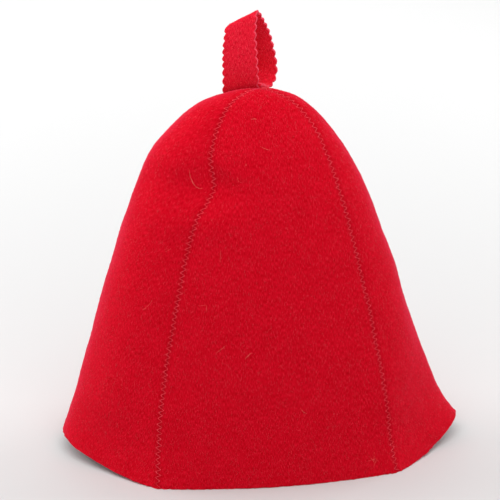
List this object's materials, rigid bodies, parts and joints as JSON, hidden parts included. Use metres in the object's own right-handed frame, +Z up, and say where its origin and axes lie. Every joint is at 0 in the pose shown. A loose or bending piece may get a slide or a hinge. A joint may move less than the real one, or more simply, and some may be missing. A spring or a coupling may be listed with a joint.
{
  "type": "sauna hat",
  "caption": "Bell-shaped felt sauna hat sewn from gores, with a pinked hanging loop on its crown.",
  "frame": {"origin": "on the surface that the hem rests on, under the middle of the hat's box", "axes": "+Z up through the crown, -Y towards the front panel, X along the wide side of the hem"},
  "size_m": [0.27, 0.1528, 0.2971],
  "materials": {
    "felt": "matt brushed felt",
    "loop_felt": "matt felt with pinked edges"
  },
  "bodies": {
    "root": {"gore_front": "felt", "gore_right": "felt", "gore_back": "felt", "gore_left": "felt", "hanging_loop": "loop_felt"}
  },
  "joints": []
}
